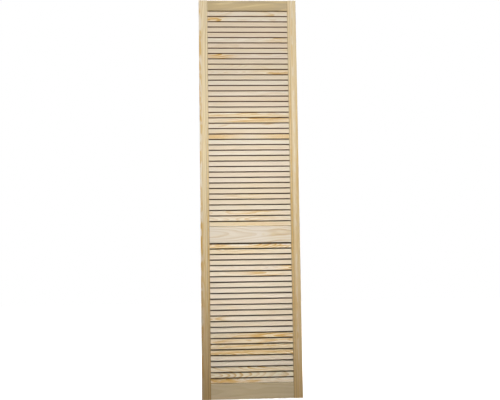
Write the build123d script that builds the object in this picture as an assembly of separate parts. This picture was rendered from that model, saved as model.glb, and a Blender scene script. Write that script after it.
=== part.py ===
"""A louvred pine door leaf: two stiles, three rails and two bays of fixed slats.

Millimetres, +Z up. The front looks along -Y. The origin is at the foot of the hinge edge, in the
middle of its thickness, so the leaf runs from X = 0 to X = DOOR_WIDTH and from Z = 0 upwards.
Each slat slopes down towards the front like a roof tile: its nose is at the front of the leaf and
the slat above it covers its upper edge.
"""
from build123d import *
from math import cos, radians, tan
import os

# The leaf
DOOR_WIDTH = 494.0
DOOR_HEIGHT = 1995.0

# Stiles, with a moulded inner edge on both faces
STILE_WIDTH = 44.0
STILE_THICKNESS = 21.0
STILE_ARRIS = 1.5  # rounding of the outer long edges
MOULDING_WIDTH = 12.0
MOULDING_DEPTH = 2.6  # from the stile's face down to the rails' face
MOULDING_QUIRK = 1.0  # small step where the flat face ends
MOULDING_CROWN = 1.0  # how far the moulding bulges above a straight bevel

# Rails
BOTTOM_RAIL_HEIGHT = 76.0
MIDDLE_RAIL_HEIGHT = 80.5
TOP_RAIL_HEIGHT = 53.0
RAIL_EDGE_RADIUS = 2.5
RAIL_LIP = 3.0  # how far a rail's front hangs over the crest of the slat below it
TENON_LENGTH = 26.0
TENON_THICKNESS = 7.0
TENON_SHOULDER = 11.0  # from the rail's long edge to the tenon

# Slats
LOWER_SLAT_COUNT = 25
UPPER_SLAT_COUNT = 40
SLAT_WIDTH = 32.0
SLAT_THICKNESS = 5.5
SLAT_CROWN = 0.75  # bulge of each long edge
SLAT_LEAN = 19.0  # degrees from upright
SLAT_TONGUE = 8.0  # how far each end runs into a stile
SLATS_IN_A_NODE = 2

# Clearances
HOUSING_CLEARANCE = 0.1  # round a slat's end or a tenon
HOUSING_END_CLEARANCE = 0.5  # past a slat's end or a tenon's end
NOSE_GAP = 0.2  # from a rail's top to the nose of the slat above it
CREST_GAP = 0.4  # between a slat's crest and the rebate for it in the rail above

INFILL_THICKNESS = STILE_THICKNESS - 2 * MOULDING_DEPTH
BAY_WIDTH = DOOR_WIDTH - 2 * STILE_WIDTH
FRONT, BACK = -1, 1

# A slat's section is a flat strip with crowned edges: the nose at its lower end, the crest at its
# upper end. The lowest point of the nose and the highest point of the crest lie on the crowns.
LEAN = radians(SLAT_LEAN)
CROWN_RADIUS = ((SLAT_THICKNESS / 2) ** 2 + SLAT_CROWN**2) / (2 * SLAT_CROWN)
SLAT_HALF_HEIGHT = (SLAT_WIDTH / 2 - CROWN_RADIUS) * cos(LEAN) + CROWN_RADIUS

# Heights, from the foot up. A bay is as high as its slats' pitches plus one slat, which clears the
# rail below and tucks under the lip of the rail above. Both bays share one pitch.
BAY_EXTRA = NOSE_GAP + 2 * SLAT_HALF_HEIGHT + CREST_GAP - RAIL_LIP
PITCH_COUNT = LOWER_SLAT_COUNT - 1 + UPPER_SLAT_COUNT - 1
RAILS_TOTAL = BOTTOM_RAIL_HEIGHT + MIDDLE_RAIL_HEIGHT + TOP_RAIL_HEIGHT
SLAT_PITCH = (DOOR_HEIGHT - RAILS_TOTAL - 2 * BAY_EXTRA) / PITCH_COUNT
MIDDLE_FOOT = BOTTOM_RAIL_HEIGHT + BAY_EXTRA + SLAT_PITCH * (LOWER_SLAT_COUNT - 1)
MIDDLE_TOP = MIDDLE_FOOT + MIDDLE_RAIL_HEIGHT
TOP_FOOT = DOOR_HEIGHT - TOP_RAIL_HEIGHT
RAILS = {
    "bottom_rail": (0.0, BOTTOM_RAIL_HEIGHT),
    "middle_rail": (MIDDLE_FOOT, MIDDLE_TOP),
    "top_rail": (TOP_FOOT, DOOR_HEIGHT),
}


def slat_centres(rail_top, count):
    """Centre heights of the slats above a rail, from the bottom up."""
    lowest = rail_top + NOSE_GAP + SLAT_HALF_HEIGHT
    return [lowest + SLAT_PITCH * n for n in range(count)]


LOWER_SLATS = slat_centres(BOTTOM_RAIL_HEIGHT, LOWER_SLAT_COUNT)
UPPER_SLATS = slat_centres(MIDDLE_TOP, UPPER_SLAT_COUNT)


def slat_section(clearance=0.0):
    """The slat's section in the YZ plane about its centre, grown by a clearance."""
    half_width = SLAT_WIDTH / 2 + clearance
    shoulder = half_width - SLAT_CROWN
    face = SLAT_THICKNESS / 2 + clearance
    outline = Curve() + [
        Line((-shoulder, -face), (shoulder, -face)),
        ThreePointArc((shoulder, -face), (half_width, 0), (shoulder, face)),
        Line((shoulder, face), (-shoulder, face)),
        ThreePointArc((-shoulder, face), (-half_width, 0), (-shoulder, -face)),
    ]
    return Plane.YZ * Rot(0, 0, 90 - SLAT_LEAN) * make_face(outline)


def slat(centre_height):
    """One slat, with an end in each stile."""
    blank = extrude(slat_section(), amount=BAY_WIDTH + 2 * SLAT_TONGUE)
    return Pos(STILE_WIDTH - SLAT_TONGUE, 0, centre_height) * blank


def slat_housing(centre_height):
    """The slanted slot in the left stile for a slat's end."""
    depth = SLAT_TONGUE + HOUSING_END_CLEARANCE
    cutter = extrude(slat_section(HOUSING_CLEARANCE), amount=depth)
    return Pos(STILE_WIDTH - depth, 0, centre_height) * cutter


def tenon(rail_foot, rail_top, clearance=0.0, end_clearance=0.0):
    """The tenon on a rail's left end, or the mortise for it when grown by its clearances."""
    length = TENON_LENGTH + end_clearance
    height = rail_top - rail_foot - 2 * TENON_SHOULDER + 2 * clearance
    block = Box(length, TENON_THICKNESS + 2 * clearance, height)
    return Pos(STILE_WIDTH - length / 2, 0, (rail_foot + rail_top) / 2) * block


def other_side(shape):
    """The same shape on the other side of the leaf."""
    return mirror(shape, about=Plane.YZ.offset(DOOR_WIDTH / 2))


def slat_front_at(below_crest):
    """Y of a slat's front face, this far below its crest and no higher than the end of its crown."""
    height = SLAT_HALF_HEIGHT - below_crest
    return height * tan(LEAN) - SLAT_THICKNESS / 2 / cos(LEAN)


def crest_rebate(foot):
    """What is cut from the back of a rail's underside to clear the crest of the slat below it."""
    lip_back = slat_front_at(RAIL_LIP - CREST_GAP) - CREST_GAP
    depth = INFILL_THICKNESS / 2 - lip_back
    return Pos(DOOR_WIDTH / 2, lip_back, foot) * Box(
        BAY_WIDTH, depth, RAIL_LIP, align=(Align.CENTER, Align.MIN, Align.MIN)
    )


def rail(foot, top):
    """A rail with rounded long edges, a tenon at each end and a rebate over any slat below it."""
    height = top - foot
    board = Pos(DOOR_WIDTH / 2, 0, foot + height / 2) * Box(BAY_WIDTH, INFILL_THICKNESS, height)
    board = fillet(board.edges().filter_by(Axis.X), RAIL_EDGE_RADIUS)
    if foot > 0:
        board -= crest_rebate(foot)
    left_tenon = tenon(foot, top)
    return board + left_tenon + other_side(left_tenon)


def moulding_outline(side):
    """The moulded inner edge on one face, from the flat face to the inner face of the left stile."""
    face = side * STILE_THICKNESS / 2
    step = face - side * MOULDING_QUIRK
    foot = side * INFILL_THICKNESS / 2
    start_x = STILE_WIDTH - MOULDING_WIDTH
    middle = (STILE_WIDTH - MOULDING_WIDTH / 2, (step + foot) / 2 + side * MOULDING_CROWN)
    return [
        Line((start_x, face), (start_x, step)),
        ThreePointArc((start_x, step), middle, (STILE_WIDTH, foot)),
    ]


def stile_section():
    """Section of the left stile, from the hinge edge at X = 0 to its inner face."""
    flat_end = STILE_WIDTH - MOULDING_WIDTH
    half = STILE_THICKNESS / 2
    outline = Curve() + [
        Line((0, -half), (flat_end, -half)),
        *moulding_outline(FRONT),
        Line((STILE_WIDTH, -INFILL_THICKNESS / 2), (STILE_WIDTH, INFILL_THICKNESS / 2)),
        *moulding_outline(BACK),
        Line((flat_end, half), (0, half)),
        Line((0, half), (0, -half)),
    ]
    section = make_face(outline)
    return fillet(section.vertices().filter_by(lambda v: v.X < STILE_ARRIS), STILE_ARRIS)


def stile():
    """The left stile, with a housing for each slat and a mortise for each rail."""
    bar = extrude(stile_section(), amount=DOOR_HEIGHT)
    housings = [slat_housing(z) for z in LOWER_SLATS + UPPER_SLATS]
    mortises = [tenon(foot, top, HOUSING_CLEARANCE, HOUSING_END_CLEARANCE) for foot, top in RAILS.values()]
    return bar - housings - mortises


def slat_nodes(bay_name, centres):
    """Slats counted from the bottom of their bay, a few to a node."""
    nodes = {}
    for first in range(0, len(centres), SLATS_IN_A_NODE):
        group = centres[first:first + SLATS_IN_A_NODE]
        numbers = "_".join(f"{first + n + 1:02d}" for n in range(len(group)))
        word = "slats" if len(group) > 1 else "slat"
        nodes[f"{bay_name}_{word}_{numbers}"] = Compound(children=[slat(z) for z in group])
    return nodes


def build():
    left = stile()
    parts = {"stile_left": left, "stile_right": other_side(left)}
    for name, (foot, top) in RAILS.items():
        parts[name] = rail(foot, top)
    parts.update(slat_nodes("lower", LOWER_SLATS))
    parts.update(slat_nodes("upper", UPPER_SLATS))
    return parts


os.makedirs("parts", exist_ok=True)
for node, shape in build().items():
    export_step(shape, f"parts/{node}.step")
print(f"pitch {SLAT_PITCH:.4f}", RAILS)
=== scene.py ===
"""Looks for the slatted pine door leaf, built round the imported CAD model. Metres, +Z up, front at -Y."""
import bpy
from math import cos, radians, sin, tan
from mathutils import Matrix, Vector
from types import SimpleNamespace


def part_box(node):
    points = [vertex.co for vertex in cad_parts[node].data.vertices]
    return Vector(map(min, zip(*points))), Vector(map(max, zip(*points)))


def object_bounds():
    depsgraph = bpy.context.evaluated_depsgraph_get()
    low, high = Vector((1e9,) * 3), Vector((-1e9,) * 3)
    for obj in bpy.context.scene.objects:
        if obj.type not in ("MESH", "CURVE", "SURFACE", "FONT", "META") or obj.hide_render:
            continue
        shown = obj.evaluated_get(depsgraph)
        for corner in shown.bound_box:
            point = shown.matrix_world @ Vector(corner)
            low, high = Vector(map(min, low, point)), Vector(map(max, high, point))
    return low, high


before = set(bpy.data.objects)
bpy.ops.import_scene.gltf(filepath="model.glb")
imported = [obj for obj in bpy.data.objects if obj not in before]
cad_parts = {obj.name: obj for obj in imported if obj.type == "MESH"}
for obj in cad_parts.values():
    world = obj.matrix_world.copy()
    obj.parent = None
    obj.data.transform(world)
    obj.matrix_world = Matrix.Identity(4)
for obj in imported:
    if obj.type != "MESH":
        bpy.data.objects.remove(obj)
CAD_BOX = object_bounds()
SCENE = bpy.context.scene
MM = 0.001


def middle_height(box):
    """Height of the middle of a node's box, in millimetres."""
    return (box[0][2] + box[1][2]) / 2 / MM


# Sizes repeated from the CAD model, or read from its nodes. Shaders work in millimetres.
SLAT_LEAN = radians(19.0)
SLATS_IN_A_NODE = 2
STILE_WIDTH = 44.0
MOULDING_WIDTH = 12.0
LEAF_WIDTH = CAD_BOX[1][0] / MM
LEAF_HEIGHT = CAD_BOX[1][2] / MM
LOWEST_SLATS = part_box("lower_slats_01_02")
NEXT_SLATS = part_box("lower_slats_03_04")
UPPER_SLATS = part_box("upper_slats_01_02")
MIDDLE_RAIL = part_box("middle_rail")
SLAT_PITCH = (middle_height(NEXT_SLATS) - middle_height(LOWEST_SLATS)) / SLATS_IN_A_NODE
LOWER_CENTRE = middle_height(LOWEST_SLATS) - SLAT_PITCH / 2
UPPER_CENTRE = middle_height(UPPER_SLATS) - SLAT_PITCH / 2
LOWER_LAST, UPPER_FIRST = 24, 28  # the lower bay's slats are 0 to 24 and the upper bay's 28 to 67
UPPER_SHIFT = UPPER_CENTRE - LOWER_CENTRE - UPPER_FIRST * SLAT_PITCH

# Camera, fitted to the photograph's corners and slat lines
CAMERA_PLACE = Vector((54.7, -3696.7, 681.4)) * MM
CAMERA_TURN = (-0.0794, -0.0522, -0.0140)  # pitch, yaw and roll, in radians
CAMERA_FOCAL_PIXELS = 742.6
IMAGE_WIDTH = 500
SENSOR_WIDTH = 36.0


def linear(red, green, blue):
    """A colour written as 0 to 255 on screen, as shader values."""
    def one(value):
        value /= 255.0
        return value / 12.92 if value <= 0.04045 else ((value + 0.055) / 1.055) ** 2.4
    return (one(red), one(green), one(blue), 1.0)


# Colours of bare pine, and of the painted shade in its corners, crevices and undersides near the head and
# near the foot
HONEY = linear(240, 216, 160)
AMBER = linear(204, 157, 78)
GOLD = linear(214, 172, 94)
STRAW = linear(222, 200, 148)
PINK = linear(226, 203, 182)
WHITISH = linear(238, 230, 215)
TAN = linear(187, 164, 117)
HIGH_PAINTED_SHADE = linear(104, 60, 40)
LOW_PAINTED_SHADE = linear(80, 62, 48)
PAINTED_SHADE_TURN = (1300.0, 700.0)  # heights between which the one painted shade colour turns into the other

# What differs from board to board, each drawn from the board's number
LUCKS = ("shift", "layer", "heart_across", "heart_depth", "run_out", "spacing", "warmth", "blush")
BOARD_STEP, LUCK_STEP, RING_STEP = 7.31, 0.37, 3.1  # these keep the draws apart
SHIFT_RANGE = 900.0  # how far along the noises one board may lie from another, in millimetres
LAYER_RANGE = 60.0  # and how much deeper in them, in the noises' own units
WARMEST = 0.6  # how far the warmest board's early wood is from pale to warm

# Noises in the wood: how fast they change in a millimetre along, across and through a board
PATCHES = dict(along=0.006, across=0.025, through=0.0, detail=1.0)
FLECKS = dict(along=0.016, across=0.09, through=0.0, detail=2.0)
SLOW_WANDER = dict(along=0.0045, across=0.015, through=0.015, detail=1.0)
FINE_WANDER = dict(along=0.022, across=0.07, through=0.07, detail=2.0)
COARSE_FIBRES = dict(along=0.010, across=0.35, through=0.35, detail=1.0)
FINE_FIBRES = dict(along=0.02, across=1.6, through=1.6, detail=3.0, roughness=0.62, layered=False)
CANALS = dict(along=0.16, across=4.2, through=4.2, detail=0.0, layered=False)

# The levels of these noises between which what they stand for grows from nothing to full
NOISE_RANGE = (0.25, 0.75)
PATCH_LEVELS = (0.55, 0.85)
FLECK_LEVELS = (0.40, 0.56)
CANAL_LEVELS = (0.74, 0.82)
CLOUD_LEVELS = (0.3, 0.7)

# Tones: what the colour is multiplied by, or what is added to that
FINE_TONES = (0.945, 1.035)
COARSE_TONES = (0.955, 1.03)
CANAL_TONE = -0.14
FAMILY_TONE = 1.07  # for a family with tan boards
TAN_RING_TONE = -0.28
CLOUD_TONES = (-0.10, 0.10)
TAN_POWER = 4.0  # keeps the rings and clouds to the boards that are nearly all tan

# Figure
PATCH_STRENGTH = 0.5
PATCH_WARMTH = 0.5
PATCH_CONTRAST = 1.5
LEAST_STREAK = 0.6  # a streak's strength between the flecks
STREAK_WAVE = 3.0  # in a streak's half widths

# Rings
SLOW_WANDER_SIZE = 24.0
FINE_WANDER_SIZE = 2.0
FLAT_SAWN_OFFSET = 0.22  # share of the heart's sideways offset that a flat-sawn board keeps
DEPTH_SPREAD = 0.3  # share of the heart's sideways spread that its depth varies by
LATE_START, LATE_FULL, LATE_END = 0.30, 0.88, 0.92  # shares of a ring
FAINTEST_RING = 0.35

# The stiles' darker foot, head, inner edge and end grain, heights and widths in millimetres: the head and
# the inner edge are painted shade, the foot is partly painted shade and partly darker wood, and the end
# grain is the wood's own
FOOT_FADE, FOOT_FADE_POWER = (1250.0, 30.0), 1.6
# Painted shade: the stiles grow darker towards their head.
HEAD_FADE, HEAD_SHADE = (1500.0, 1950.0), 0.93
# Painted shade on the moulding's rounded inner edge, darker towards the stile's inner face.
EDGE_WIDTH, EDGE_SHADE = 6.0, 0.80
END_GRAIN_TURN, END_GRAIN_SHADE = (0.6, 0.95), 0.80  # by how upright the surface faces

# Lines of painted shade in the moulding's quirk and where the boards meet: half width in millimetres, and
# strength
QUIRK_INSIDE = 0.2  # from the moulding's edge to the line's middle
QUIRK_PAINTED_SHADE = (1.0, 0.4)
RAIL_JOINT_PAINTED_SHADE = (0.9, 0.5)
SLAT_JOINT_PAINTED_SHADE = (1.2, 0.35)

# Surface, with its relief in millimetres and as shares of it
ROUGHNESS_TURN = (0.3, 1.5)  # by late wood and fibres together
EARLY_ROUGHNESS, LATE_ROUGHNESS = 0.66, 0.48
SHEEN = 0.32
BUMP_STRENGTH = 0.7
BUMP_DEPTH = 0.07
RING_RELIEF, FIBRE_RELIEF, CANAL_RELIEF = 0.6, 0.8, -0.5

SAME_WITHIN = 0.4  # how far a whole number in a shader may be off


class Tree:
    """Short calls for building one node tree."""

    def __init__(self, tree):
        self.nodes = tree.nodes
        self.links = tree.links
        self.nodes.clear()

    def add(self, kind, **settings):
        node = self.nodes.new(kind)
        for name, value in settings.items():
            setattr(node, name, value)
        return node

    def feed(self, socket, value):
        if isinstance(value, bpy.types.NodeSocket):
            self.links.new(value, socket)
        elif value is not None:
            socket.default_value = value

    def math(self, operation, a, b=None, c=None, clamp=False):
        node = self.add("ShaderNodeMath", operation=operation, use_clamp=clamp)
        for socket, value in zip(node.inputs, (a, b, c)):
            self.feed(socket, value)
        return node.outputs[0]

    def plus(self, a, b):
        return self.math("ADD", a, b)

    def minus(self, a, b):
        return self.math("SUBTRACT", a, b)

    def times(self, a, b, clamp=False):
        return self.math("MULTIPLY", a, b, clamp=clamp)

    def times_plus(self, a, b, c):
        return self.math("MULTIPLY_ADD", a, b, c)

    def over(self, a, b):
        return self.math("DIVIDE", a, b)

    def larger(self, a, b):
        return self.math("MAXIMUM", a, b)

    def distance(self, a):
        return self.math("ABSOLUTE", a)

    def same(self, number, wanted):
        """1 where a whole number is the wanted one, and 0 elsewhere."""
        return self.math("COMPARE", number, wanted, SAME_WITHIN)

    def combine(self, x, y, z):
        node = self.add("ShaderNodeCombineXYZ")
        for socket, value in zip(node.inputs, (x, y, z)):
            self.feed(socket, value)
        return node.outputs[0]

    def split(self, vector):
        node = self.add("ShaderNodeSeparateXYZ")
        self.feed(node.inputs[0], vector)
        return list(node.outputs)

    def noise(self, x, y, z, detail, roughness):
        """Smooth noise from 0 to 1, mostly near 0.5, at a place given by three values."""
        node = self.add("ShaderNodeTexNoise", noise_dimensions="3D")
        self.feed(node.inputs["Vector"], self.combine(x, y, z))
        node.inputs["Scale"].default_value = 1.0
        node.inputs["Detail"].default_value = detail
        node.inputs["Roughness"].default_value = roughness
        return node.outputs["Fac"]

    def chance(self, value):
        """A fixed random number from 0 to 1 for each value."""
        node = self.add("ShaderNodeTexWhiteNoise", noise_dimensions="1D")
        self.feed(node.inputs["W"], value)
        return node.outputs["Value"]

    def ramp(self, value, low, high, to_low=0.0, to_high=1.0, smooth=True):
        node = self.add("ShaderNodeMapRange", interpolation_type="SMOOTHSTEP" if smooth else "LINEAR")
        for name, number in (("Value", value), ("From Min", low), ("From Max", high),
                             ("To Min", to_low), ("To Max", to_high)):
            self.feed(node.inputs[name], number)
        return node.outputs[0]

    def bell(self, value, middle, half_width):
        """1 at the middle, falling smoothly to nothing about two half widths away."""
        off = self.over(self.minus(value, middle), half_width)
        return self.math("EXPONENT", self.times(self.times(off, off), -1.0))

    def mix(self, factor, a, b):
        node = self.add("ShaderNodeMix", data_type="RGBA")
        colours = [socket for socket in node.inputs if socket.type == "RGBA"]
        self.feed(node.inputs["Factor"], factor)
        self.feed(colours[0], a)
        self.feed(colours[1], b)
        return [socket for socket in node.outputs if socket.type == "RGBA"][0]

    def scale_colour(self, colour, amount):
        node = self.add("ShaderNodeVectorMath", operation="SCALE")
        self.feed(node.inputs[0], colour)
        self.feed(node.inputs["Scale"], amount)
        return node.outputs[0]

    def tint(self, colour, factors):
        node = self.add("ShaderNodeVectorMath", operation="MULTIPLY")
        self.feed(node.inputs[0], colour)
        self.feed(node.inputs[1], factors)
        return node.outputs[0]

    def output(self, kind, shader):
        """Ends the tree in an output node of this kind."""
        self.feed(self.add(kind).inputs["Surface"], shader)


class Pine:
    """How one family of boards is sawn and coloured. Lengths in millimetres."""

    # A family may leave these out
    marks = ()  # amber figure, as (board, middle, half length, strength)
    mark_spacing = 1.6  # what the rings' spacing is multiplied by on a board with marks
    tilts = ()  # hearts that run through the face, as (board, slope, where along it they cross)
    streaks = ()  # as (board, across, half width, middle, half length, strength), some with a slope
    streak_slope = 0.0  # how fast the streaks without a slope of their own climb across the board
    streak_colour = None
    white_edges = ()  # sapwood between the flecks, as (board, across, half width, strength)
    tan_boards = ()  # as (board, how tan)
    blush = 0.0  # how pink the pinkest board is
    foot_shade_and_wood_tints = ()  # what the colour is multiplied by at the foot, for boards 0 and 1: partly painted shade towards the floor, partly darker wood

    def __init__(self, name, axes, painted_shade_and_end_grain, seed, pale, warm, late, ring_spacing, heart_side, heart_depth,
                 heart_spread, taper, plain_contrast, **rest):
        self.name = name
        self.axes = axes  # (tree, x, y, z) to along, across, through and board number
        self.painted_shade_and_end_grain = painted_shade_and_end_grain  # (tree, spot) to a shade factor, from painted shade and darker end grain, and an amount of painted shade
        self.seed = seed
        self.pale, self.warm, self.late = pale, warm, late
        self.ring_spacing = ring_spacing  # from half to one and a half times this, by the board's luck
        self.heart_side = heart_side  # where the tree's heart line lies across, on the board's axes
        self.heart_depth = heart_depth  # and through
        self.heart_spread = heart_spread  # how much heart_side varies from board to board
        self.taper = taper  # how fast a ring runs out of the face along the board
        self.plain_contrast = plain_contrast  # how strong the late wood is outside the figure
        vars(self).update(rest)


def slat_axes(tree, x, y, z):
    """Along the leaf's width, up the slat's own slope, through its thickness, and the slat's number."""
    in_upper_bay = tree.math("GREATER_THAN", z, MIDDLE_RAIL[0][2] / MM)
    z = tree.times_plus(in_upper_bay, -UPPER_SHIFT, z)
    level = tree.minus(z, tree.over(y, tan(SLAT_LEAN)))
    number = tree.math("ROUND", tree.over(tree.minus(level, LOWER_CENTRE), SLAT_PITCH))
    rise = tree.minus(z, tree.times_plus(number, SLAT_PITCH, LOWER_CENTRE))
    up = tree.plus(tree.times(y, sin(SLAT_LEAN)), tree.times(rise, cos(SLAT_LEAN)))
    out = tree.minus(tree.times(y, cos(SLAT_LEAN)), tree.times(rise, sin(SLAT_LEAN)))
    return x, up, out, number


def rail_axes(tree, x, y, z):
    """Along the leaf's width, up from the rail's middle, through it, and 0, 1 or 2 from the bottom."""
    number = tree.math("ROUND", tree.over(z, LEAF_HEIGHT / 2))
    up = z
    for n, rail in enumerate(("bottom_rail", "middle_rail", "top_rail")):
        up = tree.times_plus(tree.same(number, n), -middle_height(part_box(rail)), up)
    return x, up, y, number


def stile_axes(tree, x, y, z):
    """Up the leaf, across the stile, through its thickness; 0 is the left stile and 1 the right one."""
    return z, x, y, tree.math("GREATER_THAN", x, LEAF_WIDTH / 2)


def find_spot(tree, pine):
    """Where the shaded point lies in the leaf and on its board, and the board's own luck."""
    coordinates = tree.add("ShaderNodeTexCoord")
    x, y, z = (tree.times(value, 1.0 / MM) for value in tree.split(coordinates.outputs["Object"]))
    along, across, through, board = pine.axes(tree, x, y, z)
    number = tree.times_plus(board, BOARD_STEP, pine.seed)
    luck = {name: tree.chance(tree.plus(number, LUCK_STEP * k)) for k, name in enumerate(LUCKS)}
    return SimpleNamespace(
        x=x, z=z, normal=coordinates.outputs["Normal"],
        along=along, across=across, through=through, board=board, number=number, luck=luck,
        moved=tree.times_plus(luck["shift"], SHIFT_RANGE, along),
        layer=tree.times(luck["layer"], LAYER_RANGE),
    )


def wood_noise(tree, spot, along, across, through, detail, roughness=0.5, layered=True):
    """Noise drawn out along the board; layered noise also lies at the board's own depth."""
    depth = tree.times_plus(spot.through, through, spot.layer if layered else 0.0)
    length, width = tree.times(spot.moved, along), tree.times(spot.across, across)
    return tree.noise(length, width, depth, detail, roughness)


def marked_figure(tree, pine, spot):
    """How strongly the amber figure shows here, and 1 on a board that has any."""
    amount, flat_sawn = 0.0, 0.0
    for board, middle, half_length, strength in pine.marks:
        here = tree.same(spot.board, board)
        one = tree.times(tree.times(here, strength), tree.bell(spot.along, middle, half_length))
        amount = tree.larger(one, amount)
        flat_sawn = tree.larger(here, flat_sawn)
    return amount, flat_sawn


def ring_radius(tree, pine, spot, flat_sawn):
    """Distance from the heart line, which lies close behind the middle of a flat-sawn board."""
    side_sawn = tree.minus(1.0, flat_sawn)
    offset = tree.times_plus(tree.minus(spot.luck["heart_across"], 0.5), pine.heart_spread, pine.heart_side)
    heart_across = tree.times(offset, tree.times_plus(side_sawn, 1.0 - FLAT_SAWN_OFFSET, FLAT_SAWN_OFFSET))
    heart_through = tree.times_plus(tree.times(spot.luck["heart_depth"], side_sawn),
                                    pine.heart_spread * DEPTH_SPREAD, pine.heart_depth)
    for board, slope, crossing in pine.tilts:
        tilted = tree.times(tree.minus(spot.along, crossing), slope)
        heart_through = tree.times_plus(tree.same(spot.board, board), tree.minus(tilted, heart_through),
                                        heart_through)
    off_across = tree.minus(spot.across, heart_across)
    off_through = tree.minus(spot.through, heart_through)
    squares = tree.plus(tree.times(off_across, off_across), tree.times(off_through, off_through))
    return tree.math("SQRT", squares)


def late_wood(tree, pine, spot, flat_sawn, slow):
    """1 in the late wood, which thickens slowly and ends sharply, with some rings fainter than others."""
    waviness = tree.times(wood_noise(tree, spot, **FINE_WANDER), FINE_WANDER_SIZE)
    run_out = tree.times(tree.times(tree.minus(spot.luck["run_out"], 0.5), pine.taper * 2), spot.along)
    wander = tree.plus(tree.times_plus(slow, SLOW_WANDER_SIZE, waviness), run_out)
    spacing = tree.times(tree.times_plus(spot.luck["spacing"], pine.ring_spacing, pine.ring_spacing / 2),
                         tree.times_plus(flat_sawn, pine.mark_spacing - 1.0, 1.0))
    rings = tree.over(tree.plus(ring_radius(tree, pine, spot, flat_sawn), wander), spacing)
    phase = tree.math("FRACT", rings)
    ring_luck = tree.chance(tree.plus(tree.math("FLOOR", rings), tree.times(spot.number, RING_STEP)))
    late = tree.times(tree.ramp(phase, LATE_START, LATE_FULL), tree.ramp(phase, LATE_END, 1.0, 1.0, 0.0))
    return tree.times(late, tree.times_plus(ring_luck, 1.0 - FAINTEST_RING, FAINTEST_RING))


def golden_streaks(tree, pine, spot, wander):
    """How strongly a lengthwise streak shows here."""
    amount = 0.0
    for board, side, half_width, middle, half_length, strength, *own_slope in pine.streaks:
        slope = own_slope[0] if own_slope else pine.streak_slope
        here = tree.times(tree.same(spot.board, board), strength)
        wavy = tree.times_plus(tree.minus(wander, 0.5), STREAK_WAVE * half_width, spot.across)
        level = tree.minus(wavy, tree.times(tree.minus(spot.along, middle), slope))
        one = tree.times(tree.bell(level, side, half_width), tree.bell(spot.along, middle, half_length))
        amount = tree.larger(tree.times(here, one), amount)
    return amount


def tan_tint(tree, pine, spot):
    """How tan the whole board is."""
    total = 0.0
    for board, amount in pine.tan_boards:
        total = tree.plus(tree.times(tree.same(spot.board, board), amount), total)
    return total


def wood_colour(tree, pine, spot, late, slow, marked):
    """Pale early wood and darker late wood, warmer where figured, with the family's tints and streaks."""
    patchy = wood_noise(tree, spot, **PATCHES)
    patch = tree.larger(tree.times(tree.ramp(patchy, *PATCH_LEVELS), PATCH_STRENGTH), marked)
    early = tree.mix(tree.times(spot.luck["warmth"], WARMEST), pine.pale, pine.warm)
    early = tree.mix(tree.times(spot.luck["blush"], pine.blush), early, PINK)
    early = tree.mix(tree.times(patch, PATCH_WARMTH, clamp=True), early, HONEY)
    late_colour = tree.mix(tree.times(patch, 1.0, clamp=True), pine.late, AMBER)
    contrast = tree.times_plus(patch, PATCH_CONTRAST, pine.plain_contrast)
    late_amount = tree.times(late, contrast, clamp=True)
    colour = tree.mix(late_amount, early, late_colour)
    if pine.tan_boards:
        colour = tree.mix(tan_tint(tree, pine, spot), colour, TAN)
    flecks = tree.ramp(wood_noise(tree, spot, **FLECKS), *FLECK_LEVELS)
    if pine.streaks:
        flecked = tree.times_plus(flecks, 1.0 - LEAST_STREAK, LEAST_STREAK)
        streak = tree.times(golden_streaks(tree, pine, spot, slow), flecked)
        colour = tree.mix(streak, colour, pine.streak_colour)
    for board, side, half_width, strength in pine.white_edges:
        here = tree.times(tree.same(spot.board, board), strength)
        edge = tree.times(tree.bell(spot.across, side, half_width), tree.minus(1.0, flecks))
        colour = tree.mix(tree.times(here, edge), colour, WHITISH)
    if pine.foot_shade_and_wood_tints:
        # Partly painted shade towards the floor, partly darker wood at the foot.
        near_foot = tree.math("POWER", tree.ramp(spot.z, *FOOT_FADE, smooth=False), FOOT_FADE_POWER)
        foot_shade_and_wood_colour = tree.tint(colour, tree.mix(spot.board, *pine.foot_shade_and_wood_tints))
        colour = tree.mix(near_foot, colour, foot_shade_and_wood_colour)
    return colour


def wood_tone(tree, pine, spot, late, slow, fibres, canals):
    """Lighter and darker fibres and resin canals; on the tan boards also deeper rings and soft clouds."""
    coarse = wood_noise(tree, spot, **COARSE_FIBRES)
    tone = tree.times(tree.ramp(fibres, *NOISE_RANGE, *FINE_TONES, smooth=False),
                      tree.ramp(coarse, *NOISE_RANGE, *COARSE_TONES, smooth=False))
    tone = tree.times(tone, tree.times_plus(canals, CANAL_TONE, 1.0))
    if pine.tan_boards:
        very_tan = tree.math("POWER", tan_tint(tree, pine, spot), TAN_POWER)
        clouds = tree.times(tree.ramp(slow, *CLOUD_LEVELS, *CLOUD_TONES, smooth=False), very_tan)
        ringed = tree.times_plus(tree.times(late, very_tan), TAN_RING_TONE, FAMILY_TONE)
        tone = tree.times(tone, tree.plus(ringed, clouds))
    return tone


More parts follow.
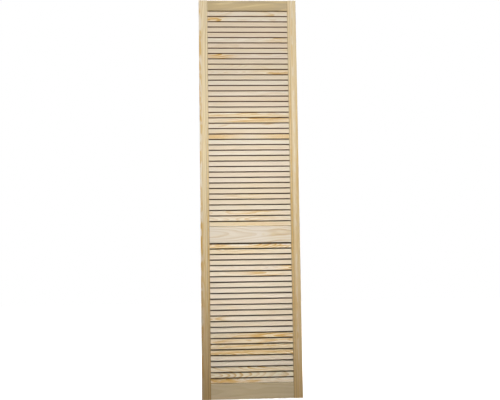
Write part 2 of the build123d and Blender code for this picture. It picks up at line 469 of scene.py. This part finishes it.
def pine_material(pine):
    """Bare planed pine as a solid texture: annual rings round a heart line beside or behind the board."""
    material = bpy.data.materials.new(pine.name)
    material.use_nodes = True
    tree = Tree(material.node_tree)
    spot = find_spot(tree, pine)
    marked, flat_sawn = marked_figure(tree, pine, spot)
    slow = wood_noise(tree, spot, **SLOW_WANDER)
    fibres = wood_noise(tree, spot, **FINE_FIBRES)
    canals = tree.ramp(wood_noise(tree, spot, **CANALS), *CANAL_LEVELS)
    late = late_wood(tree, pine, spot, flat_sawn, slow)
    colour = wood_colour(tree, pine, spot, late, slow, marked)
    tone = wood_tone(tree, pine, spot, late, slow, fibres, canals)
    # The second value is painted shade in crevices, under slat noses and along joints, mixed in as a dark
    # colour that is browner higher up.
    shade, painted_shade = pine.painted_shade_and_end_grain(tree, spot)
    painted_shade_colour = tree.mix(tree.ramp(spot.z, *PAINTED_SHADE_TURN), HIGH_PAINTED_SHADE, LOW_PAINTED_SHADE)

    shader = tree.add("ShaderNodeBsdfPrincipled")
    clean = tree.scale_colour(colour, tree.times(tone, shade))
    tree.feed(shader.inputs["Base Color"], tree.mix(painted_shade, clean, painted_shade_colour))
    roughness = tree.ramp(tree.plus(late, fibres), *ROUGHNESS_TURN, EARLY_ROUGHNESS, LATE_ROUGHNESS,
                          smooth=False)
    tree.feed(shader.inputs["Roughness"], roughness)
    shader.inputs["Specular IOR Level"].default_value = SHEEN
    bump = tree.add("ShaderNodeBump")
    bump.inputs["Strength"].default_value = BUMP_STRENGTH
    bump.inputs["Distance"].default_value = BUMP_DEPTH * MM
    relief = tree.times_plus(late, RING_RELIEF, tree.times(fibres, FIBRE_RELIEF))
    tree.feed(bump.inputs["Height"], tree.times_plus(canals, CANAL_RELIEF, relief))
    tree.feed(shader.inputs["Normal"], bump.outputs[0])
    tree.output("ShaderNodeOutputMaterial", shader.outputs[0])
    return material


def into_stile(tree, spot):
    """How far a place lies beyond the nearer stile's inner face, less than nothing between the stiles."""
    from_middle = tree.distance(tree.minus(spot.x, LEAF_WIDTH / 2))
    return tree.minus(from_middle, LEAF_WIDTH / 2 - STILE_WIDTH)


def painted_shade_line(tree, distance, middle, half_width, strength):
    """Painted shade along a line, fading to both sides."""
    return tree.times(tree.bell(distance, middle, half_width), strength)


def stile_painted_shade_and_end_grain(tree, spot):
    """Painted shade on the moulding's inner edge, at the head and in a line in the moulding's quirk, and
    darker end grain.
    """
    inner = into_stile(tree, spot)
    edge = tree.ramp(inner, 0.0, EDGE_WIDTH, EDGE_SHADE, 1.0)
    head = tree.ramp(spot.z, *HEAD_FADE, 1.0, HEAD_SHADE)
    upright = tree.distance(tree.split(spot.normal)[2])
    ends = tree.ramp(upright, *END_GRAIN_TURN, 1.0, END_GRAIN_SHADE)
    quirk = painted_shade_line(tree, inner, MOULDING_WIDTH - QUIRK_INSIDE, *QUIRK_PAINTED_SHADE)
    return tree.times(tree.times(edge, head), ends), quirk


def rail_painted_shade(tree, spot):
    """A fine line of painted shade where a rail meets the stiles."""
    return 1.0, painted_shade_line(tree, into_stile(tree, spot), 0.0, *RAIL_JOINT_PAINTED_SHADE)


# Painted shade on a slat, in millimetres from the slat's middle or as a share of full painted shade
COVERED_FROM = 9.0  # up its front, where the slat above starts to cover it
COVERED_MORE = 3.5  # how much lower the middle rail's lip covers the slat below it
MORE_REACH_BELOW = 0.7  # how much lower the painted shade reaches in the lower bay
SHADIER_DOWN = (1950.0, 900.0, -0.8, 1.2)  # heights, and how much lower the painted shade reaches at each
PAINTED_SHADE_FADE = (-0.5, 1.5)  # from there, where the painted shade begins and is full
DEEPEST_PAINTED_SHADE = 0.95
NOSE_EDGE = (14.4, 15.5)  # where its edge rounds away
# Painted shade on the underside of each slat's nose, darker in the lower bay.
NOSE_PAINTED_SHADE, MORE_NOSE_SHADE_BELOW = 0.55, 0.35


def slat_painted_shade(tree, spot):
    """Painted shade where the next slat covers this one, under the nose, and where a slat enters its
    housing.
    """
    front = tree.times_plus(tree.math("LESS_THAN", spot.through, 0.0), 2.0, -1.0)
    under_rail = tree.same(spot.board, LOWER_LAST)
    covered = tree.times_plus(under_rail, COVERED_MORE, tree.times(spot.across, front))
    in_lower_bay = tree.math("LESS_THAN", spot.board, LOWER_LAST + 0.5)
    by_height = tree.ramp(spot.z, *SHADIER_DOWN, smooth=False)
    more_reach = tree.times_plus(in_lower_bay, MORE_REACH_BELOW, by_height)
    first, full = (COVERED_FROM + change for change in PAINTED_SHADE_FADE)
    hidden = tree.ramp(tree.plus(covered, more_reach), first, full, 0.0, DEEPEST_PAINTED_SHADE)
    nose = tree.times(tree.ramp(tree.distance(spot.across), *NOSE_EDGE),
                      tree.times_plus(in_lower_bay, MORE_NOSE_SHADE_BELOW, NOSE_PAINTED_SHADE))
    ends = painted_shade_line(tree, into_stile(tree, spot), 0.0, *SLAT_JOINT_PAINTED_SHADE)
    return 1.0, tree.larger(tree.larger(hidden, nose), ends)


# The slats' figure, placed one by one. Slats are counted from the bottom: 0 to 24, then 28 to 67.
SLAT_MARKS = (
    (66, 80, 50, 0.9), (62, 400, 70, 0.6), (59, 100, 70, 0.9), (56, 380, 110, 0.6), (48, 230, 260, 0.8),
    (47, 300, 180, 0.9), (44, 60, 140, 1.0), (44, 430, 130, 1.0), (33, 250, 120, 0.4), (30, 250, 180, 0.6),
    (29, 250, 160, 0.4), (28, 250, 300, 0.7), (24, 90, 110, 1.0), (24, 330, 150, 1.0), (23, 180, 200, 0.7),
    (20, 440, 50, 1.0), (19, 320, 100, 0.7), (11, 70, 60, 0.6), (8, 330, 150, 1.0), (7, 250, 300, 0.5),
    (6, 250, 320, 0.7), (5, 250, 320, 1.0), (2, 250, 200, 0.6), (1, 230, 300, 0.6), (0, 110, 170, 1.0),
    (0, 380, 60, 0.4),
)
SLAT_STREAKS = (
    (0, -3, 16, 90, 95, 1.0), (0, -3, 14, 265, 40, 1.0), (0, -3, 10, 372, 14, 0.5),
    (5, -8, 5, 90, 90, 0.7), (5, -3, 3, 190, 90, 0.9), (5, -4, 3, 330, 35, 0.9), (5, -3, 3, 400, 70, 1.0),
    (6, -9, 4, 100, 90, 0.6), (6, -2, 2.8, 205, 100, 0.9), (6, -2, 2.8, 335, 60, 0.9),
    (7, -6, 5, 120, 100, 0.5), (7, 0, 2.6, 390, 80, 0.8),
    (8, 0, 3.2, 290, 45, 1.0), (8, -4, 3.5, 405, 60, 1.0), (8, -8, 3, 150, 60, 0.5),
    (24, -3, 7, 70, 60, 0.6), (24, -6, 3, 250, 60, 0.8), (24, 0, 3, 330, 40, 1.0), (24, -4, 3, 405, 55, 1.0),
    (44, -3, 6, 60, 90, 0.5), (47, -6, 2.8, 260, 130, 0.9), (47, 0, 2.8, 400, 60, 0.8),
    (48, -3, 2.8, 130, 90, 0.8), (48, 2, 2.6, 330, 120, 0.8), (59, -2, 8, 90, 70, 0.5),
    (66, -2, 7, 70, 30, 0.8),
)
SLAT_TILTS = (
    (0, 0.09, 425.0), (1, 0.10, -60.0), (2, -0.11, 560.0), (5, 0.045, -260.0), (8, 0.06, 620.0),
    (24, 0.18, 190.0), (44, -0.05, 200.0),
)
SLAT_WHITE_EDGES = ((0, 0, 14, 0.5), (24, 3, 9, 0.7), (48, 5, 6, 0.5), (62, 0, 8, 0.5))
slat_pine = Pine(
    "slat_pine", slat_axes, slat_painted_shade, seed=1.3,
    pale=linear(225, 214, 193), warm=linear(220, 199, 165), late=linear(208, 180, 137), ring_spacing=4.4,
    heart_side=0.0, heart_depth=22.0, heart_spread=190.0, taper=0.03, plain_contrast=0.38,
    marks=SLAT_MARKS, mark_spacing=0.95, tilts=SLAT_TILTS, streaks=SLAT_STREAKS, streak_slope=0.045,
    streak_colour=AMBER, white_edges=SLAT_WHITE_EDGES, blush=0.4,
)

# The rails' figure: 0 is the bottom rail, 1 the middle one and 2 the top one
RAIL_MARKS = (
    (0, 200, 200, 0.10), (1, 150, 120, 0.12), (1, 400, 70, 0.35), (2, 130, 90, 0.2), (2, 330, 90, 0.2),
)
RAIL_STREAKS = (
    (1, 3, 6, 250, 5, 0.3), (1, 3, 6, 311, 9, 0.4), (1, 2, 7, 360, 12, 0.5), (1, 10, 2.5, 420, 50, 0.4, 0.1),
    (1, -3, 3, 120, 30, 0.3), (2, 12, 6, 130, 50, 0.8, 0.12), (2, -5, 5, 250, 90, 0.7, 0.14),
    (2, 6, 4, 330, 80, 0.6, 0.12),
)
rail_pine = Pine(
    "rail_pine", rail_axes, rail_painted_shade, seed=8.2,
    pale=linear(232, 221, 205), warm=linear(226, 210, 188), late=linear(208, 185, 148), ring_spacing=6.0,
    heart_side=0.0, heart_depth=24.0, heart_spread=50.0, taper=0.05, plain_contrast=0.36,
    marks=RAIL_MARKS, streaks=RAIL_STREAKS, streak_colour=STRAW, tan_boards=((0, 0.72), (2, 0.95)),
)

# The stiles' figure: 0 is the left stile and 1 the right one
STILE_STREAKS = (
    (0, 2, 7, 1500, 600, 1.0), (0, 3, 8, 800, 400, 1.0), (0, 6, 7, 330, 420, 0.6), (0, 39, 5, 650, 520, 0.9),
    (0, 22, 3, 500, 300, 0.5), (0, 12, 3, 690, 70, 0.75, -0.2), (0, 17, 3, 560, 80, 0.55, -0.18),
    (0, 7, 2.5, 800, 60, 0.8, -0.12), (0, 21, 3, 430, 90, 0.5, -0.15), (1, 457, 6, 850, 700, 0.9),
    (1, 489, 5, 1150, 450, 0.8), (1, 470, 3, 1750, 160, 0.5), (1, 474, 4, 300, 300, 0.5),
    (1, 468, 2, 620, 200, 0.5), (1, 480, 2.5, 820, 160, 0.5),
)
stile_pine = Pine(
    "stile_pine", stile_axes, stile_painted_shade_and_end_grain, seed=3.7,
    pale=linear(240, 225, 190), warm=linear(231, 203, 148), late=linear(206, 166, 104), ring_spacing=7.5,
    heart_side=70.0, heart_depth=30.0, heart_spread=60.0, taper=0.012, plain_contrast=0.72,
    streaks=STILE_STREAKS, streak_colour=GOLD, white_edges=((0, 5, 8, 0.7), (1, 474, 5, 0.5)),
    foot_shade_and_wood_tints=((0.56, 0.455, 0.31, 1), (0.76, 0.66, 0.52, 1)),
)

# Edges of the slats
WELD_DISTANCE = 0.01 * MM
SANDED_WIDTH = 0.7 * MM
SANDED_FROM = radians(40)  # the angle between faces from which an edge is rounded


def soften_edges(node):
    """Rounds the faceted shoulders a little, as sanding does."""
    weld = node.modifiers.new("weld", "WELD")
    weld.merge_threshold = WELD_DISTANCE
    bevel = node.modifiers.new("soft_edges", "BEVEL")
    bevel.width = SANDED_WIDTH
    bevel.segments = 2
    bevel.limit_method = "ANGLE"
    bevel.angle_limit = SANDED_FROM


MATERIALS = {
    "stile": pine_material(stile_pine),
    "rail": pine_material(rail_pine),
    "slat": pine_material(slat_pine),
}
for name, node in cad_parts.items():
    family = next(word for word in MATERIALS if word in name)
    for material_slot in node.material_slots:
        material_slot.material = MATERIALS[family]
    if family == "slat":
        soften_edges(node)

# Studio, in metres and watts
MIDDLE = LEAF_WIDTH * MM / 2
FLOOR_SIZE = 16.0
FLOOR_DROP = 0.5 * MM  # below the leaf's foot
FLOOR_GREY, FLOOR_GREY_SEEN = 0.35, 0.55  # to the light, and to the camera
FLOOR_GLOW = 0.72  # near the foot of the leaf, where the floor shows its shadow
FLOOR_TURN = (0.3, 1.1)  # how far from the leaf's foot the glow grows to white
AMBIENT = 0.08
WHITE = (1, 1, 1, 1)
LAMPS = {  # place, what it aims at, width, height, full angle of its beam in degrees, power
    "key": ((MIDDLE, -2.8, 2.7), (MIDDLE, 0, 1.85), 0.9, 0.3, 60.0, 8.6),
    "overhead": ((MIDDLE, -2.2, 3.0), (MIDDLE, 0, 0.8), 0.9, 0.3, 30.0, 2.0),
    "low": ((MIDDLE, -2.2, 2.7), (MIDDLE, 0, 0.2), 0.9, 0.3, 20.0, 0.9),
    "top": ((MIDDLE, 0.02, 3.4), (MIDDLE, 0.02, 2.0), 0.6, 0.2, 60.0, 1.6),
    "left_back_fill": ((MIDDLE - 2.2, 1.6, 0.5), (MIDDLE, 0, 1.0), 1.0, 1.0, 180.0, 46.0),
    "right_back_fill": ((MIDDLE + 2.2, 1.6, 0.5), (MIDDLE, 0, 1.0), 1.0, 1.0, 180.0, 46.0),
}


def grey(level):
    return (level, level, level, 1)


def floor_material():
    """White to the camera with a faint shadow, and pale grey to the light that it throws back."""
    material = bpy.data.materials.new("pale_floor")
    material.use_nodes = True
    tree = Tree(material.node_tree)
    ray = tree.add("ShaderNodeLightPath")
    seen = tree.larger(ray.outputs["Is Camera Ray"], ray.outputs["Is Glossy Ray"])
    matt = tree.add("ShaderNodeBsdfDiffuse")
    tree.feed(matt.inputs["Color"], tree.mix(seen, grey(FLOOR_GREY), grey(FLOOR_GREY_SEEN)))
    from_leaf = tree.add("ShaderNodeVectorMath", operation="LENGTH")
    tree.feed(from_leaf.inputs[0], tree.add("ShaderNodeTexCoord").outputs["Object"])
    brightness = tree.ramp(from_leaf.outputs["Value"], *FLOOR_TURN, FLOOR_GLOW, 1.0)
    glow = tree.add("ShaderNodeEmission")
    glow.inputs["Color"].default_value = WHITE
    tree.feed(glow.inputs["Strength"], tree.times(seen, brightness))
    total = tree.add("ShaderNodeAddShader")
    tree.feed(total.inputs[0], matt.outputs[0])
    tree.feed(total.inputs[1], glow.outputs[0])
    tree.output("ShaderNodeOutputMaterial", total.outputs[0])
    return material


def pale_floor():
    half = FLOOR_SIZE / 2
    corners = [(-half, -half, 0), (half, -half, 0), (half, half, 0), (-half, half, 0)]
    mesh = bpy.data.meshes.new("floor")
    mesh.from_pydata(corners, [], [(0, 1, 2, 3)])
    mesh.materials.append(floor_material())
    floor = bpy.data.objects.new("floor", mesh)
    floor.location = (MIDDLE, 0, -FLOOR_DROP)
    SCENE.collection.objects.link(floor)


def white_world():
    """White behind the leaf, and a faint light from all round."""
    world = bpy.data.worlds.new("studio")
    world.use_nodes = True
    tree = Tree(world.node_tree)
    ray = tree.add("ShaderNodeLightPath")
    seen = tree.larger(ray.outputs["Is Camera Ray"], ray.outputs["Is Transmission Ray"])
    back = tree.add("ShaderNodeBackground")
    back.inputs["Color"].default_value = WHITE
    tree.feed(back.inputs["Strength"], tree.ramp(seen, 0.0, 1.0, AMBIENT, 1.0, smooth=False))
    tree.output("ShaderNodeOutputWorld", back.outputs[0])
    SCENE.world = world


def soft_lamp(name, place, aim, width, height, spread, power):
    light = bpy.data.lights.new(name, "AREA")
    light.shape = "RECTANGLE"
    light.spread = radians(spread)
    light.size = width
    light.size_y = height
    light.energy = power
    lamp = bpy.data.objects.new(name, light)
    lamp.location = place
    lamp.rotation_euler = (Vector(aim) - Vector(place)).to_track_quat("-Z", "Y").to_euler()
    lamp.visible_camera = False
    SCENE.collection.objects.link(lamp)


def make_camera():
    pitch, yaw, roll = CAMERA_TURN
    turn = Matrix.Rotation(roll, 3, "Z") @ Matrix.Rotation(pitch, 3, "X") @ Matrix.Rotation(yaw, 3, "Y")
    # Rows of turn are the camera's right, down and forward, on axes right, down and into the leaf
    right, down, forward = (Vector((row[0], row[2], -row[1])) for row in turn)
    data = bpy.data.cameras.new("camera")
    data.sensor_width = SENSOR_WIDTH
    data.lens = CAMERA_FOCAL_PIXELS / IMAGE_WIDTH * SENSOR_WIDTH
    camera = bpy.data.objects.new("camera", data)
    spin = Matrix((right, -down, -forward)).transposed()
    camera.matrix_world = Matrix.Translation(CAMERA_PLACE) @ spin.to_4x4()
    SCENE.collection.objects.link(camera)
    SCENE.camera = camera


make_camera()
pale_floor()
white_world()
for lamp_name, settings in LAMPS.items():
    soft_lamp(lamp_name, *settings)

SCENE.view_settings.view_transform = "Standard"
